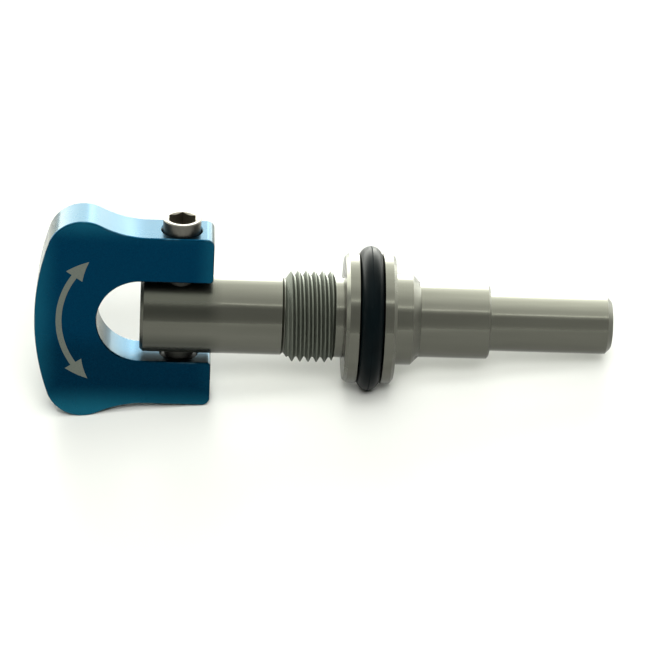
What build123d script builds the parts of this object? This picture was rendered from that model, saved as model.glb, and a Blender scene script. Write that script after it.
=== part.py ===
from build123d import *

import math
import os

# Folding-handle sealing spindle, in millimetres.
# Origin: on the spindle's axis, in the plane of the collar's shoulder face.
# +X runs along the spindle towards its tip, +Z along the pivot screws, Y across the handle's plate.

# --- driving dimensions: spindle, as places along X and diameters ---
SHANK_DIA = 12.0
SHANK_END_X = -38.7
SHANK_CHAMFER = 0.5
RELIEF_DIA = 11.3
RELIEF_X = -16.85
RELIEF_FLOOR = 0.1
THREAD_MAJOR_DIA = 13.9
THREAD_ROOT_DIA = 12.4
THREAD_PITCH = 1.25
THREAD_END_X = -9.05
NECK_DIA = 12.25
COLLAR_DIA = 19.9
COLLAR_LENGTH = 7.65
COLLAR_BACK_CHAMFER = 0.55
COLLAR_FRONT_CHAMFER = 0.5
GROOVE_FRONT_X = -1.95
GROOVE_WIDTH = 3.55
HUB_DIA = 14.0
HUB_LENGTH = 2.65
SLEEVE_DIA = 11.5
SLEEVE_END_X = 14.6
TIP_DIA = 9.0
TIP_END_X = 33.4
TIP_CHAMFER = 0.8
EDGE_BREAK = 0.15

# --- driving dimensions: O-ring ---
RING_INNER_DIA = 15.0
RING_SECTION_DIA = 3.5
RING_CLEARANCE = 0.02

# --- driving dimensions: pivot, handle and its screws ---
PIVOT_X = -32.7
PLATE_THICKNESS = 7.2
BACK_REACH = 22.0
BACK_RADIUS = 40.0
LOBE_HALF_WIDTH = 16.4
LOBE_RADIUS = 5.5
BLEND_RADIUS = 16.0
ARM_HALF_WIDTH = 14.0
ARM_REACH = 4.95
ARM_OUTER_CORNER = 1.2
ARM_INNER_CORNER = 0.6
SLOT_RADIUS = 6.7
SLOT_CENTRE_REACH = 5.9
PLATE_EDGE_RADIUS = 0.3
SCREW_HOLE_DIA = 6.0
SCREW_HOLE_MOUTH_DIA = 6.4

SCREW_MAJOR_DIA = 5.9
SCREW_ROOT_DIA = 4.77
SCREW_PITCH = 1.0
SCREW_LAND_DIA = 5.76
SCREW_LAND_LENGTH = 2.4
SCREW_RELIEF_LENGTH = 1.3
SCREW_BODY_LENGTH = 7.3
SCREW_LENGTH = 12.5
NOSE_DIA = 4.5
NOSE_CHAMFER = 0.4
NOSE_CLEARANCE = 0.05
SOCKET_FLATS = 4.0
SOCKET_DEPTH = 3.4
SOCKET_MOUTH_DIA = 4.5
UPPER_SCREW_STANDS_PROUD = 1.9

FLANK_TANGENT = math.tan(math.radians(30))
OVERSHOOT = 0.05


def thread_groove(major_dia, root_dia, pitch, length):
    """The helical V of an ISO external thread, along +Z from the origin."""
    depth = (major_dia - root_dia) / 2
    crest_flat = pitch / 8
    root_half = (pitch - crest_flat) / 2 - depth * FLANK_TANGENT
    reach = depth + OVERSHOOT
    mouth_half = root_half + reach * FLANK_TANGENT
    path = Helix(pitch=pitch, height=length, radius=root_dia / 2)
    section_plane = Plane(origin=path @ 0, x_dir=(1, 0, 0), z_dir=path % 0)
    outline = Polyline((0, -root_half), (reach, -mouth_half), (reach, mouth_half), (0, root_half), close=True)
    return sweep(section_plane * make_face(outline), path=path, is_frenet=True)


def turned(outline):
    """A solid of revolution about Z from (place along the axis, radius) pairs."""
    profile = make_face(Polyline(*[(radius, 0, place) for place, radius in outline], close=True))
    return revolve(profile, axis=Axis.Z)


def make_spindle():
    shank, relief, major = SHANK_DIA / 2, RELIEF_DIA / 2, THREAD_MAJOR_DIA / 2
    neck, collar, hub = NECK_DIA / 2, COLLAR_DIA / 2, HUB_DIA / 2
    sleeve, tip = SLEEVE_DIA / 2, TIP_DIA / 2
    collar_back = -COLLAR_LENGTH
    groove_back = GROOVE_FRONT_X - GROOVE_WIDTH
    groove_floor = RING_INNER_DIA / 2
    relief_step = shank - relief
    thread_start = RELIEF_X + RELIEF_FLOOR
    body = turned([
        (SHANK_END_X, 0),
        (SHANK_END_X, shank - SHANK_CHAMFER),
        (SHANK_END_X + SHANK_CHAMFER, shank),
        (RELIEF_X - relief_step, shank),
        (RELIEF_X, relief),
        (thread_start, relief),
        (thread_start + (major - relief) * 0.75, major),
        (THREAD_END_X - (major - neck) * 0.5, major),
        (THREAD_END_X, neck),
        (collar_back, neck),
        (collar_back, collar - COLLAR_BACK_CHAMFER),
        (collar_back + COLLAR_BACK_CHAMFER, collar),
        (groove_back - EDGE_BREAK, collar),
        (groove_back, collar - EDGE_BREAK),
        (groove_back, groove_floor),
        (GROOVE_FRONT_X, groove_floor),
        (GROOVE_FRONT_X, collar - EDGE_BREAK),
        (GROOVE_FRONT_X + EDGE_BREAK, collar),
        (-COLLAR_FRONT_CHAMFER, collar),
        (0, collar - COLLAR_FRONT_CHAMFER),
        (0, hub),
        (HUB_LENGTH, hub),
        (HUB_LENGTH + hub - sleeve, sleeve),
        (SLEEVE_END_X - 2 * EDGE_BREAK, sleeve),
        (SLEEVE_END_X, sleeve - 2 * EDGE_BREAK),
        (SLEEVE_END_X, tip),
        (TIP_END_X - TIP_CHAMFER, tip),
        (TIP_END_X, tip - TIP_CHAMFER),
        (TIP_END_X, 0),
    ])
    # The groove runs past both ends of the threaded stretch, where the metal is thinner than its root.
    groove_length = THREAD_END_X - thread_start + THREAD_PITCH
    groove = thread_groove(THREAD_MAJOR_DIA, THREAD_ROOT_DIA, THREAD_PITCH, groove_length)
    body -= Pos(0, 0, thread_start - THREAD_PITCH / 3) * groove
    body = Rot(0, 90, 0) * body
    hole_radius = NOSE_DIA / 2 + NOSE_CLEARANCE
    return body - Pos(PIVOT_X, 0, 0) * Cylinder(hole_radius, SHANK_DIA + 2)


def make_o_ring():
    section_radius = RING_SECTION_DIA / 2
    centre_radius = RING_INNER_DIA / 2 + section_radius + RING_CLEARANCE
    centre_x = GROOVE_FRONT_X - GROOVE_WIDTH / 2
    return Pos(centre_x, 0, 0) * Rot(0, 90, 0) * Torus(centre_radius, section_radius)


def handle_outline():
    """The upper half of the plate's outline in X and Z about the pivot, as tangent arcs, mirrored."""
    back_centre_x = BACK_RADIUS - BACK_REACH
    lobe_z = LOBE_HALF_WIDTH - LOBE_RADIUS
    lobe_x = back_centre_x - math.sqrt((BACK_RADIUS - LOBE_RADIUS) ** 2 - lobe_z**2)
    blend_z = ARM_HALF_WIDTH + BLEND_RADIUS
    blend_x = lobe_x + math.sqrt((LOBE_RADIUS + BLEND_RADIUS) ** 2 - (blend_z - lobe_z) ** 2)
    lobe = Vector(lobe_x, lobe_z)
    to_back = (lobe - Vector(back_centre_x, 0)).normalized()
    to_blend = (Vector(blend_x, blend_z) - lobe).normalized()
    lobe_start = lobe + to_back * LOBE_RADIUS
    lobe_end = lobe + to_blend * LOBE_RADIUS
    half = [
        RadiusArc((-BACK_REACH, 0), lobe_start, BACK_RADIUS),
        RadiusArc(lobe_start, lobe_end, LOBE_RADIUS),
        RadiusArc(lobe_end, (blend_x, ARM_HALF_WIDTH), -BLEND_RADIUS),
        Polyline((blend_x, ARM_HALF_WIDTH), (ARM_REACH, ARM_HALF_WIDTH), (ARM_REACH, 0), (-BACK_REACH, 0)),
    ]
    upper = make_face(half)
    return upper + mirror(upper, about=Plane.XZ)


def make_handle():
    outline = handle_outline()
    outline -= Pos(-SLOT_CENTRE_REACH, 0) * Circle(SLOT_RADIUS)
    slot_length = SLOT_CENTRE_REACH + ARM_REACH
    outline -= Pos(-SLOT_CENTRE_REACH + slot_length / 2, 0) * Rectangle(slot_length, 2 * SLOT_RADIUS)
    arm_ends = outline.vertices().filter_by_position(Axis.X, ARM_REACH - 0.01, ARM_REACH + 0.01)
    outer = [corner for corner in arm_ends if abs(corner.Y) > SLOT_RADIUS + 1]
    outline = fillet(outer, ARM_OUTER_CORNER)
    arm_ends = outline.vertices().filter_by_position(Axis.X, ARM_REACH - 0.01, ARM_REACH + 0.01)
    inner = [corner for corner in arm_ends if abs(corner.Y) < SLOT_RADIUS + 0.01]
    outline = fillet(inner, ARM_INNER_CORNER)
    plate = extrude(outline, amount=PLATE_THICKNESS / 2, both=True)
    rims = plate.faces().filter_by(Axis.Z).edges()
    plate = fillet(rims, PLATE_EDGE_RADIUS)
    plate = Pos(PIVOT_X, 0, 0) * Rot(90, 0, 0) * plate
    plate -= Pos(PIVOT_X, 0, 0) * Cylinder(SCREW_HOLE_DIA / 2, 2 * ARM_HALF_WIDTH + 2)
    mouth_depth = (SCREW_HOLE_MOUTH_DIA - SCREW_HOLE_DIA) / 2
    for side in (1, -1):
        mouth = Cone(SCREW_HOLE_DIA / 2, SCREW_HOLE_MOUTH_DIA / 2, mouth_depth)
        upright = Pos(0, 0, ARM_HALF_WIDTH - mouth_depth / 2) * mouth
        plate -= Pos(PIVOT_X, 0, 0) * Rot(0 if side > 0 else 180, 0, 0) * upright
    return plate


def make_pivot_screw():
    """A dog-point screw along Z, its socket end at z = 0 and its nose pointing down."""
    land, root, major = SCREW_LAND_DIA / 2, SCREW_ROOT_DIA / 2, SCREW_MAJOR_DIA / 2
    nose = NOSE_DIA / 2
    relief = root - 0.03
    land_end = -SCREW_LAND_LENGTH
    thread_top = land_end - SCREW_RELIEF_LENGTH
    body = turned([
        (0, 0),
        (0, land - EDGE_BREAK),
        (-EDGE_BREAK, land),
        (land_end, land),
        (land_end, relief),
        (thread_top, relief),
        (thread_top - (major - relief) * 0.6, major),
        (-SCREW_BODY_LENGTH + (major - nose) * 0.6, major),
        (-SCREW_BODY_LENGTH, nose),
        (-SCREW_LENGTH + NOSE_CHAMFER, nose),
        (-SCREW_LENGTH, nose - NOSE_CHAMFER),
        (-SCREW_LENGTH, 0),
    ])
    groove_length = SCREW_BODY_LENGTH - SCREW_LAND_LENGTH - SCREW_RELIEF_LENGTH / 2 + SCREW_PITCH / 2
    groove = thread_groove(SCREW_MAJOR_DIA, SCREW_ROOT_DIA, SCREW_PITCH, groove_length)
    body -= Pos(0, 0, -SCREW_BODY_LENGTH - SCREW_PITCH / 2) * groove
    socket_across_corners = SOCKET_FLATS / math.cos(math.radians(30))
    # The hexagon's corners point along Y, so its flats face along X.
    hexagon = Rot(0, 0, 30) * RegularPolygon(socket_across_corners / 2, 6)
    body -= extrude(hexagon, amount=-SOCKET_DEPTH)
    drill_depth = SOCKET_FLATS / 2 * FLANK_TANGENT
    body -= Pos(0, 0, -SOCKET_DEPTH - drill_depth / 2) * Cone(0, SOCKET_FLATS / 2, drill_depth)
    mouth_depth = (SOCKET_MOUTH_DIA - SOCKET_FLATS) / 2
    body -= Pos(0, 0, -mouth_depth / 2) * Cone(SOCKET_FLATS / 2, SOCKET_MOUTH_DIA / 2, mouth_depth)
    return body


def main():
    os.makedirs("parts", exist_ok=True)
    screw = make_pivot_screw()
    parts = {
        "spindle": make_spindle(),
        "o_ring": make_o_ring(),
        "handle": make_handle(),
        "upper_pivot_screw": Pos(PIVOT_X, 0, ARM_HALF_WIDTH + UPPER_SCREW_STANDS_PROUD) * screw,
        "lower_pivot_screw": Pos(PIVOT_X, 0, -ARM_HALF_WIDTH) * Rot(180, 0, 0) * screw,
    }
    for name, part in parts.items():
        export_step(part, os.path.join("parts", name + ".step"))
        print(name, round(part.volume, 1), part.bounding_box())


main()
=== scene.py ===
import math

import bmesh
import bpy
from mathutils import Matrix, Vector


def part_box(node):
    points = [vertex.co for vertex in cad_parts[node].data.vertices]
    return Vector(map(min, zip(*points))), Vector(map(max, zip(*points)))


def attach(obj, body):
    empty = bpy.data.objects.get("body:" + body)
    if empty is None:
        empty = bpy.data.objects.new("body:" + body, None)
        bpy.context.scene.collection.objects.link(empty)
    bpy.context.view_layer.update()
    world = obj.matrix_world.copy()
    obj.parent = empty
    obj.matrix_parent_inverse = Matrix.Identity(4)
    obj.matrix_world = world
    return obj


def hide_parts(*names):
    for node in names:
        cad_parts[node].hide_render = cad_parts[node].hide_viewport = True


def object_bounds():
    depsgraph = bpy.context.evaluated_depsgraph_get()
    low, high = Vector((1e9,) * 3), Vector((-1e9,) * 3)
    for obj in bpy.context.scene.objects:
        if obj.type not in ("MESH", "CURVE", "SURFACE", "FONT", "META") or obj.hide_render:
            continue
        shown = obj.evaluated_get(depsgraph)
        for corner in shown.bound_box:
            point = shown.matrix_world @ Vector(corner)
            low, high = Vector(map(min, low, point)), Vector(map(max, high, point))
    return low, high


MM = 0.001

# The camera's place about the object's centre, in degrees and metres, and its lens in millimetres.
CAMERA_AZIMUTH = -3.15
CAMERA_ELEVATION = 26.5
CAMERA_ROLL = 3.02
CAMERA_DISTANCE = 0.510
CAMERA_LENS = 184.4
AIM_OFFSET = Vector((0.25, 0, -1.4)) * MM

# The studio cove: angle about X in degrees, from the front horizon over the top to the back one,
# and how bright it is there.
COVE_TONES = [
    (0, 0.59), (8, 0.46), (14, 0.42), (44, 0.42), (52, 0.70), (55.2, 0.98), (56.5, 4.2), (57.8, 1.18),
    (62, 1.15), (72, 1.18), (82, 1.4), (92, 1.68), (102, 2.0), (114, 2.15), (127, 2.6), (142, 3.7),
    (148, 6.2), (153, 8.0), (180, 8.0),
]
COVE_STRENGTH = 10.0
COVE_TINT = (1.0, 1.02, 0.94)
# How the cove's brightness changes along X: the X part of a direction, and the factor there.
COVE_ALONG = [
    (-1, 1.0), (0.03, 1.0), (0.07, 1.14), (0.09, 1.35), (0.115, 1.6), (0.14, 1.8), (0.19, 1.3),
    (0.25, 1.1), (0.45, 0.9), (0.8, 0.4), (1, 0.35),
]

# The softboxes: name, place, width, height and power, in metres and watts.
SOFTBOXES = [
    ("overhead_softbox", (0, 0, 0.80), 1.00, 1.00, 4.1),
    ("front_softbox", (0, -0.33, 0.75), 0.48, 0.42, 2.2),
    ("low_softbox", (0, -0.68, 0.57), 0.40, 0.26, 6.5),
]

# Where the spindle's thread lies, and where the fork's arms swing over its shank, along X.
THREAD_START_X = -16.9 * MM
THREAD_END_X = -8.9 * MM
THREAD_FADE = 0.3 * MM
SWEPT_X = -28.6 * MM
SWEPT_FADE_X = -26.2 * MM

# The pivot screws: radii about their own axis, and distances along it from the spindle's axis.
SOCKET_RADIUS = 2.25 * MM
SOCKET_EDGE_RADIUS = 2.4 * MM
SOCKET_FROM = 9.5 * MM
INNER_END_TO = 8.0 * MM
SHOULDER_TO = 7.4 * MM
NOSE_RADIUS = 2.26 * MM

# How far from the handle's middle plane the wear on its rounded edges starts.
EDGE_WEAR_Y = 3.25 * MM

# The O-ring's parting ridge: its height, and its half-width around the section in radians.
RIDGE_HEIGHT = 0.045 * MM
RIDGE_HALF_WIDTH = 0.055

# The etched arrow on the handle's front face, in metres and in radians from straight back.
ARROW_CENTRE_X = -38.0 * MM
ARROW_RADIUS = 13.0 * MM
ARROW_STROKE = 0.9 * MM
ARROW_HEAD_WIDTH = 3.0 * MM
ARROW_HEAD_START = 0.60
ARROW_TIP = 0.86


def lowest_along(node, tilt):
    """The lowest place of a node measured square to a floor that rises by tilt towards +X."""
    normal = Vector((-math.sin(tilt), 0, math.cos(tilt)))
    return min(vertex.co.dot(normal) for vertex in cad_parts[node].data.vertices)


def resting_tilt():
    """The floor's slope at which the handle's lower lobe and the O-ring both touch it."""
    low, high = 0.0, math.radians(20)
    for _ in range(40):
        middle = (low + high) / 2
        if lowest_along("o_ring", middle) > lowest_along("handle", middle):
            low = middle
        else:
            high = middle
    return low


def nodes_of(material):
    material.use_nodes = True
    tree = material.node_tree
    return tree, tree.nodes["Principled BSDF"]


def add_node(tree, kind, **values):
    node = tree.nodes.new(kind)
    for name, value in values.items():
        if name in node.inputs:
            node.inputs[name].default_value = value
        else:
            setattr(node, name, value)
    return node


def make_camera(centre):
    azimuth, elevation = math.radians(CAMERA_AZIMUTH), math.radians(CAMERA_ELEVATION)
    back = Vector((
        math.sin(azimuth) * math.cos(elevation),
        -math.cos(azimuth) * math.cos(elevation),
        math.sin(elevation),
    ))
    aim = centre + AIM_OFFSET
    right = (-back).cross(Vector((0, 0, 1))).normalized()
    up = right.cross(-back)
    level = Matrix((right, up, back)).transposed()
    turn = Matrix.Rotation(math.radians(CAMERA_ROLL), 3, "Z")
    data = bpy.data.cameras.new("camera")
    data.lens = CAMERA_LENS
    data.sensor_width = 36
    data.clip_start, data.clip_end = 0.01, 10
    camera = bpy.data.objects.new("camera", data)
    camera.matrix_world = Matrix.Translation(aim + back * CAMERA_DISTANCE) @ (level @ turn).to_4x4()
    bpy.context.scene.collection.objects.link(camera)
    bpy.context.scene.camera = camera


def make_floor(tilt):
    reach = 1.5
    mesh = bpy.data.meshes.new("floor")
    corners = [(-reach, -reach, 0), (reach, -reach, 0), (reach, reach, 0), (-reach, reach, 0)]
    mesh.from_pydata(corners, [], [(0, 1, 2, 3)])
    floor = bpy.data.objects.new("floor", mesh)
    normal = Vector((-math.sin(tilt), 0, math.cos(tilt)))
    turn = Matrix.Rotation(-tilt, 4, "Y")
    floor.matrix_world = Matrix.Translation(normal * lowest_along("handle", tilt)) @ turn
    bpy.context.scene.collection.objects.link(floor)
    material = bpy.data.materials.new("floor")
    tree, shader = nodes_of(material)
    shader.inputs["Base Color"].default_value = (0.80, 0.815, 0.76, 1)
    shader.inputs["Roughness"].default_value = 0.40
    shader.inputs["Specular IOR Level"].default_value = 0.05
    mesh.materials.append(material)


def fill_ramp(node, stops):
    elements = node.color_ramp.elements
    while len(elements) < len(stops):
        elements.new(0.5)
    for element, (position, colour) in zip(elements, stops):
        element.position = position
        element.color = (*colour, 1)


def make_world():
    """A long studio cove along X, toned by the angle around X and a little by the direction along it.
    It gives the steel and the handle their reflections, and leaves diffuse light to the softboxes."""
    world = bpy.data.worlds.new("studio")
    bpy.context.scene.world = world
    world.use_nodes = True
    tree = world.node_tree
    background = tree.nodes["Background"]
    x, y, z = (part_of(tree, "Generated", axis) for axis in "XYZ")
    angle = maths(tree, "ARCTAN2", z, maths(tree, "MULTIPLY", y, -1))
    around = add_node(tree, "ShaderNodeValToRGB")
    brightest = max(tone for _, tone in COVE_TONES)
    fill_ramp(around, [
        (degrees / 180, [part * tone / brightest for part in COVE_TINT]) for degrees, tone in COVE_TONES
    ])
    tree.links.new(ranged(tree, angle, 0, math.pi, 0, 1), around.inputs["Fac"])
    tree.links.new(around.outputs["Color"], background.inputs["Color"])
    along = add_node(tree, "ShaderNodeValToRGB")
    fill_ramp(along, [((place + 1) / 2, (factor / 2,) * 3) for place, factor in COVE_ALONG])
    tree.links.new(ranged(tree, x, -1, 1, 0, 1), along.inputs["Fac"])
    strength = maths(tree, "MULTIPLY", along.outputs["Color"], 2 * COVE_STRENGTH)
    tree.links.new(strength, background.inputs["Strength"])
    world.cycles_visibility.diffuse = False


def add_softbox(name, place, width, height, power):
    """A light aimed at the object that shapes the floor's shadows and leaves no reflection."""
    data = bpy.data.lights.new(name, "AREA")
    data.shape = "RECTANGLE"
    data.size, data.size_y = width, height
    data.energy = power
    light = bpy.data.objects.new(name, data)
    light.location = place
    light.rotation_mode = "QUATERNION"
    light.rotation_quaternion = Vector(place).to_track_quat("Z", "Y")
    light.visible_glossy = False
    bpy.context.scene.collection.objects.link(light)


def object_noise(tree, scale, stretch=(1, 1, 1), detail=2.0):
    """Noise fixed to the object: scale is in features per metre, and stretch multiplies it by axis."""
    place = add_node(tree, "ShaderNodeTexCoord")
    mapping = add_node(tree, "ShaderNodeMapping", Scale=stretch)
    texture = add_node(tree, "ShaderNodeTexNoise", Scale=scale, Detail=detail)
    tree.links.new(place.outputs["Object"], mapping.inputs["Vector"])
    tree.links.new(mapping.outputs["Vector"], texture.inputs["Vector"])
    return texture.outputs[0]


def ranged(tree, source, low, high, to_low, to_high, curve="LINEAR"):
    node = add_node(tree, "ShaderNodeMapRange", interpolation_type=curve)
    for name, value in (("From Min", low), ("From Max", high), ("To Min", to_low), ("To Max", to_high)):
        node.inputs[name].default_value = value
    tree.links.new(source, node.inputs["Value"])
    return node.outputs["Result"]


def maths(tree, operation, first, second=None):
    node = add_node(tree, "ShaderNodeMath", operation=operation)
    for socket, value in zip(node.inputs, (first, second)):
        if isinstance(value, (int, float)):
            socket.default_value = value
        elif value is not None:
            tree.links.new(value, socket)
    return node.outputs["Value"]


def mixed(tree, amount, first, second):
    """A colour between first and second, each a colour or a socket."""
    node = add_node(tree, "ShaderNodeMix", data_type="RGBA")
    tree.links.new(amount, node.inputs[0])
    for socket, value in ((node.inputs[6], first), (node.inputs[7], second)):
        if isinstance(value, tuple):
            socket.default_value = (*value, 1)
        else:
            tree.links.new(value, socket)
    return node.outputs[2]


def length_of(tree, first, second):
    """The length of the vector with these two parts."""
    squares = (maths(tree, "POWER", part, 2) for part in (first, second))
    return maths(tree, "SQRT", maths(tree, "ADD", *squares))


def bumped(tree, height, distance, under=None):
    node = add_node(tree, "ShaderNodeBump", Distance=distance)
    tree.links.new(height, node.inputs["Height"])
    if under is not None:
        tree.links.new(under, node.inputs["Normal"])
    return node.outputs["Normal"]


def part_of(tree, output, axis):
    """One axis of the object coordinates, of the object-space normal or, in the world, of the direction
    looked along."""
    place = add_node(tree, "ShaderNodeTexCoord")
    parts = add_node(tree, "ShaderNodeSeparateXYZ")
    tree.links.new(place.outputs[output], parts.inputs["Vector"])
    return parts.outputs[axis]


def turned_steel():
    """Fine-turned steel: tool marks around X, lengthwise waviness left by polishing, smudges, a duller
    thread, painted shade darkening the shank's top and bottom where the fork's arms swing over them,
    and those places scuffed."""
    material = bpy.data.materials.new("turned_steel")
    tree, shader = nodes_of(material)
    shader.inputs["Metallic"].default_value = 1
    shader.inputs["Anisotropic"].default_value = 0.35
    tangent = add_node(tree, "ShaderNodeTangent", direction_type="RADIAL", axis="X")
    tree.links.new(tangent.outputs["Tangent"], shader.inputs["Tangent"])

    lengthwise = object_noise(tree, 1, (45, 420, 420), 3)
    smudges = object_noise(tree, 160, (0.6, 1, 1), 4)
    x, y, z = (part_of(tree, "Object", axis) for axis in "XYZ")
    marks = add_node(tree, "ShaderNodeTexNoise", noise_dimensions="1D", Scale=5200, Detail=2.0)
    tree.links.new(maths(tree, "ADD", x, length_of(tree, y, z)), marks.inputs["W"])

    threaded = maths(
        tree, "MULTIPLY",
        ranged(tree, x, THREAD_START_X, THREAD_START_X + THREAD_FADE, 0, 1),
        ranged(tree, x, THREAD_END_X - THREAD_FADE, THREAD_END_X, 1, 0),
    )
    swept = ranged(tree, x, SWEPT_X, SWEPT_FADE_X, 1, 0)
    off_middle = maths(tree, "ABSOLUTE", z)
    # Painted shade: the shank's top and bottom next to the fork's arms are masked for a darker colour,
    # where the arms shade them.
    wear_and_painted_shade = maths(tree, "MULTIPLY", swept, ranged(tree, off_middle, 0.6 * MM, 2.6 * MM, 0, 1))
    scuffed = maths(tree, "MULTIPLY", swept, ranged(tree, off_middle, 2.8 * MM, 4.8 * MM, 0, 0.24))

    tone = ranged(tree, lengthwise, 0.3, 0.7, 0, 1)
    colour = mixed(tree, tone, (0.112, 0.112, 0.096), (0.131, 0.131, 0.113))
    # Painted shade from the fork's arms darkens the shank's top and bottom.
    colour = mixed(tree, wear_and_painted_shade, colour, (0.073, 0.075, 0.064))
    colour = mixed(tree, threaded, colour, (0.136, 0.146, 0.125))
    tree.links.new(colour, shader.inputs["Base Color"])

    end_facing = maths(tree, "ABSOLUTE", part_of(tree, "Normal", "X"))
    rough_ends = ranged(tree, end_facing, 0.15, 0.5, 0, 0.16)
    rough_thread = maths(tree, "MULTIPLY", threaded, 0.40)
    roughness = ranged(tree, smudges, 0.3, 0.75, 0.10, 0.17)
    for rougher in (rough_ends, rough_thread, scuffed):
        roughness = maths(tree, "ADD", roughness, rougher)
    tree.links.new(roughness, shader.inputs["Roughness"])
    waves = bumped(tree, lengthwise, 0.030 * MM)
    tree.links.new(bumped(tree, marks.outputs[0], 0.0012 * MM, waves), shader.inputs["Normal"])
    return material


def screw_steel(pivot_x):
    """Plain steel screws: satin outside, with painted light making the socket's inside brighter, and
    painted shade on the inner end and darker still on the shoulder behind the nose, in the gap between
    shank and arm."""
    material = bpy.data.materials.new("screw_steel")
    tree, shader = nodes_of(material)
    shader.inputs["Metallic"].default_value = 1
    across = maths(tree, "SUBTRACT", part_of(tree, "Object", "X"), pivot_x)
    from_axis = length_of(tree, across, part_of(tree, "Object", "Y"))
    off_middle = maths(tree, "ABSOLUTE", part_of(tree, "Object", "Z"))
    # Painted light: the socket's inside is masked for a brighter colour, standing in for light reaching
    # into the recess.
    in_bore = ranged(tree, from_axis, SOCKET_RADIUS, SOCKET_EDGE_RADIUS, 1, 0)
    far_out = ranged(tree, off_middle, SOCKET_FROM, SOCKET_FROM + 0.5 * MM, 0, 1)
    socket = maths(tree, "MULTIPLY", in_bore, far_out)
    # Painted shade: the inner end and the shoulder behind the nose sit in the dark gap between the
    # shank and the arm, and are darkened there.
    shaded_inner_end = ranged(tree, off_middle, INNER_END_TO, INNER_END_TO + 0.2 * MM, 1, 0)
    shaded_inner_end = maths(tree, "MULTIPLY", shaded_inner_end, ranged(tree, from_axis, 2.1 * MM, 2.3 * MM, 0, 1))
    shaded_shoulder = ranged(tree, off_middle, SHOULDER_TO, SHOULDER_TO + 0.2 * MM, 1, 0)
    past_nose = ranged(tree, from_axis, NOSE_RADIUS, NOSE_RADIUS + 0.06 * MM, 0, 1)
    shaded_shoulder = maths(tree, "MULTIPLY", shaded_shoulder, past_nose)

    grain = object_noise(tree, 1500, (1, 1, 0.3), 3)
    tone = ranged(tree, grain, 0.3, 0.7, 0, 1)
    colour = mixed(tree, tone, (0.108, 0.102, 0.092), (0.132, 0.126, 0.112))
    # Painted shade on the inner end, darker still on the shoulder.
    colour = mixed(tree, shaded_inner_end, colour, (0.032, 0.034, 0.032))
    colour = mixed(tree, shaded_shoulder, colour, (0.010, 0.012, 0.012))
    # Painted light: the socket's inside gets a colour about twice as bright as the steel around it.
    colour = mixed(tree, socket, colour, (0.256, 0.24, 0.208))
    tree.links.new(colour, shader.inputs["Base Color"])
    roughness = ranged(tree, grain, 0.3, 0.7, 0.28, 0.38)
    roughness = maths(tree, "ADD", roughness, maths(tree, "MULTIPLY", shaded_inner_end, 0.3))
    tree.links.new(roughness, shader.inputs["Roughness"])
    tree.links.new(bumped(tree, grain, 0.006 * MM), shader.inputs["Normal"])
    return material


def turning_arrow(tree):
    """Where the front face is etched: a plain curved arrow with a head at each end, beside the slot."""
    across = maths(tree, "SUBTRACT", ARROW_CENTRE_X, part_of(tree, "Object", "X"))
    up = part_of(tree, "Object", "Z")
    off_arc = maths(tree, "SUBTRACT", length_of(tree, across, up), ARROW_RADIUS)
    off_arc = maths(tree, "ABSOLUTE", off_arc)
    turn = maths(tree, "ABSOLUTE", maths(tree, "ARCTAN2", up, across))
    in_stroke = maths(tree, "LESS_THAN", off_arc, ARROW_STROKE / 2)
    before_head = maths(tree, "LESS_THAN", turn, ARROW_HEAD_START)
    stroke = maths(tree, "MULTIPLY", in_stroke, before_head)
    head_reach = ranged(tree, turn, ARROW_HEAD_START, ARROW_TIP, ARROW_HEAD_WIDTH / 2, 0)
    in_head = maths(tree, "LESS_THAN", off_arc, head_reach)
    past_stroke = maths(tree, "GREATER_THAN", turn, ARROW_HEAD_START)
    head = maths(tree, "MULTIPLY", in_head, past_stroke)
    in_front = maths(tree, "LESS_THAN", part_of(tree, "Normal", "Y"), -0.9)
    return maths(tree, "MULTIPLY", maths(tree, "MAXIMUM", stroke, head), in_front)


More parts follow.
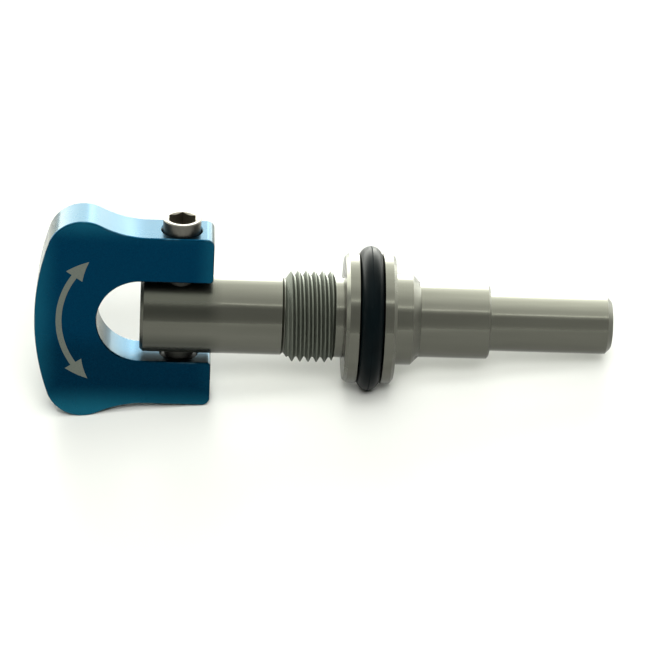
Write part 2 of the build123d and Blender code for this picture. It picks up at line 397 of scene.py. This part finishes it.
def blue_anodising():
    """Bead-blasted aluminium dyed blue under a thin clear seal, with painted light making the flat
    faces paler near the rim and painted shade darkening the face's lower half, worn bright here and
    there on the rounded edges, and etched with the arrow."""
    material = bpy.data.materials.new("blue_anodising")
    tree, shader = nodes_of(material)
    shader.inputs["Metallic"].default_value = 1
    shader.inputs["Specular Tint"].default_value = (0.75, 0.72, 0.64, 1)
    shader.inputs["Coat Weight"].default_value = 1
    shader.inputs["Coat Roughness"].default_value = 0.08
    shader.inputs["Coat IOR"].default_value = 1.05

    x, y, z = (part_of(tree, "Object", axis) for axis in "XYZ")
    # Painted light: the flat faces are made paler towards the back edge, the lobes and the arms' ends,
    # standing in for the brighter glow there.
    back_rim = ranged(tree, x, -50.5 * MM, -55.5 * MM, 0, 0.62, "SMOOTHSTEP")
    low_rim = ranged(tree, z, -10.5 * MM, -17.5 * MM, 0, 1.35, "SMOOTHSTEP")
    high_rim = ranged(tree, z, 12.8 * MM, 17.5 * MM, 0, 0.7, "SMOOTHSTEP")
    arm_ends = ranged(tree, x, -31.0 * MM, -27.0 * MM, 0, 0.5, "SMOOTHSTEP")
    arm_ends = maths(tree, "MULTIPLY", arm_ends, ranged(tree, z, -6 * MM, 6 * MM, 0.2, 1))
    rim = back_rim
    for other in (low_rim, high_rim, arm_ends):
        rim = maths(tree, "MAXIMUM", rim, other)
    cloud = object_noise(tree, 130, detail=3)
    rim = maths(tree, "MULTIPLY", rim, ranged(tree, cloud, 0.3, 0.7, 0.85, 1.15))

    turned_to_face = maths(tree, "ABSOLUTE", part_of(tree, "Normal", "Y"))
    on_face = ranged(tree, turned_to_face, 0.3, 0.8, 0, 1)
    # Painted shade: the face darkens towards its lower half, standing in for the shaded floor it
    # reflects.
    lower = ranged(tree, z, -1 * MM, -6 * MM, 0, 1, "SMOOTHSTEP")
    deep = mixed(tree, lower, (0.0001, 0.0258, 0.063), (0.0001, 0.0168, 0.041))
    deep = mixed(tree, on_face, (0.0004, 0.034, 0.074), deep)
    # Painted light near the rim, strongest on the flat faces.
    pale = mixed(tree, on_face, (0.012, 0.050, 0.090), (0.009, 0.107, 0.172))
    dye = mixed(tree, rim, deep, pale)

    blast = object_noise(tree, 5200)
    fleck = ranged(tree, blast, 0.35, 0.7, 0, 0.06)
    dye = mixed(tree, fleck, dye, (0.004, 0.14, 0.26))
    on_round = maths(tree, "MULTIPLY", turned_to_face, maths(tree, "SUBTRACT", 1, turned_to_face))
    near_edge = ranged(tree, maths(tree, "ABSOLUTE", y), EDGE_WEAR_Y, EDGE_WEAR_Y + 0.1 * MM, 0, 4)
    wear_and_painted_shade = ranged(tree, object_noise(tree, 420, detail=4), 0.50, 0.72, 0, 0.5)
    wear = maths(tree, "MULTIPLY", maths(tree, "MULTIPLY", on_round, near_edge), wear_and_painted_shade)
    colour = mixed(tree, wear, dye, (0.10, 0.20, 0.26))
    etched = maths(tree, "MULTIPLY", turning_arrow(tree), ranged(tree, blast, 0.3, 0.7, 0.85, 1))
    colour = mixed(tree, etched, colour, (0.148, 0.163, 0.142))
    tree.links.new(colour, shader.inputs["Base Color"])
    tree.links.new(ranged(tree, cloud, 0.3, 0.7, 0.25, 0.31), shader.inputs["Roughness"])
    tree.links.new(bumped(tree, blast, 0.004 * MM), shader.inputs["Normal"])
    return material


def seal_rubber(centre_x):
    """Moulded black rubber with a soft bloom, a few specks of dust and a dull line where its mould
    parted."""
    material = bpy.data.materials.new("seal_rubber")
    tree, shader = nodes_of(material)
    shader.inputs["Specular IOR Level"].default_value = 0.04
    bloom = object_noise(tree, 260, detail=4)
    dust = ranged(tree, object_noise(tree, 2600), 0.72, 0.80, 0, 0.4)
    bloomed = ranged(tree, bloom, 0.35, 0.7, 0, 1)
    colour = mixed(tree, bloomed, (0.0008, 0.0022, 0.0028), (0.0016, 0.0038, 0.0046))
    colour = mixed(tree, dust, colour, (0.03, 0.034, 0.034))
    tree.links.new(colour, shader.inputs["Base Color"])
    off_line = maths(tree, "SUBTRACT", part_of(tree, "Object", "X"), centre_x)
    line = ranged(tree, maths(tree, "ABSOLUTE", off_line), 0.06 * MM, 0.10 * MM, 0.35, 0)
    roughness = maths(tree, "ADD", ranged(tree, bloom, 0.3, 0.7, 0.32, 0.40), line)
    tree.links.new(roughness, shader.inputs["Roughness"])
    grain = object_noise(tree, 1800, detail=3)
    tree.links.new(bumped(tree, grain, 0.004 * MM), shader.inputs["Normal"])
    return material


def make_seal(material):
    """The O-ring with the fine parting ridge that its mould leaves around its outside and inside."""
    low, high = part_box("o_ring")
    section = (high[0] - low[0]) / 2
    outer = (high[2] - low[2]) / 2
    centre_x = (high[0] + low[0]) / 2
    around, across = 256, 96
    shape = bmesh.new()
    loops = []
    for i in range(around):
        turn = 2 * math.pi * i / around
        loop = []
        for j in range(across):
            angle = 2 * math.pi * j / across
            off_ridge = math.remainder(angle, math.pi)
            radius = section + RIDGE_HEIGHT * math.exp(-(off_ridge / RIDGE_HALF_WIDTH) ** 2)
            reach = outer - section + radius * math.cos(angle)
            loop.append(shape.verts.new((
                centre_x + radius * math.sin(angle),
                reach * math.cos(turn),
                reach * math.sin(turn),
            )))
        loops.append(loop)
    for i in range(around):
        here, there = loops[i], loops[(i + 1) % around]
        for j in range(across):
            k = (j + 1) % across
            face = shape.faces.new((here[j], here[k], there[k], there[j]))
            face.smooth = True
    bmesh.ops.recalc_face_normals(shape, faces=shape.faces)
    mesh = bpy.data.meshes.new("moulded_o_ring")
    shape.to_mesh(mesh)
    shape.free()
    mesh.materials.append(material)
    seal = bpy.data.objects.new("moulded_o_ring", mesh)
    bpy.context.scene.collection.objects.link(seal)
    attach(seal, "spindle")
    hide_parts("o_ring")


def give_material(node, material):
    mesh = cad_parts[node].data
    mesh.materials.clear()
    mesh.materials.append(material)


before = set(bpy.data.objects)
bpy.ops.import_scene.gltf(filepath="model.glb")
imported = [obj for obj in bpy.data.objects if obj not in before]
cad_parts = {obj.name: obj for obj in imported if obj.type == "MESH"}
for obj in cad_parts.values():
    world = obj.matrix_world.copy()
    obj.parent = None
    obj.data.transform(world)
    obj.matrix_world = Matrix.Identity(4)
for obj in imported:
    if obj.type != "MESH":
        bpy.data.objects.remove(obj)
cad_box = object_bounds()
make_camera((cad_box[0] + cad_box[1]) / 2)
make_floor(resting_tilt())
make_world()
for softbox in SOFTBOXES:
    add_softbox(*softbox)
bpy.context.scene.view_settings.view_transform = "Standard"

pivot_low, pivot_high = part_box("upper_pivot_screw")
screws = screw_steel((pivot_low[0] + pivot_high[0]) / 2)
give_material("spindle", turned_steel())
give_material("upper_pivot_screw", screws)
give_material("lower_pivot_screw", screws)
give_material("handle", blue_anodising())
ring_low, ring_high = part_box("o_ring")
make_seal(seal_rubber((ring_low[0] + ring_high[0]) / 2))
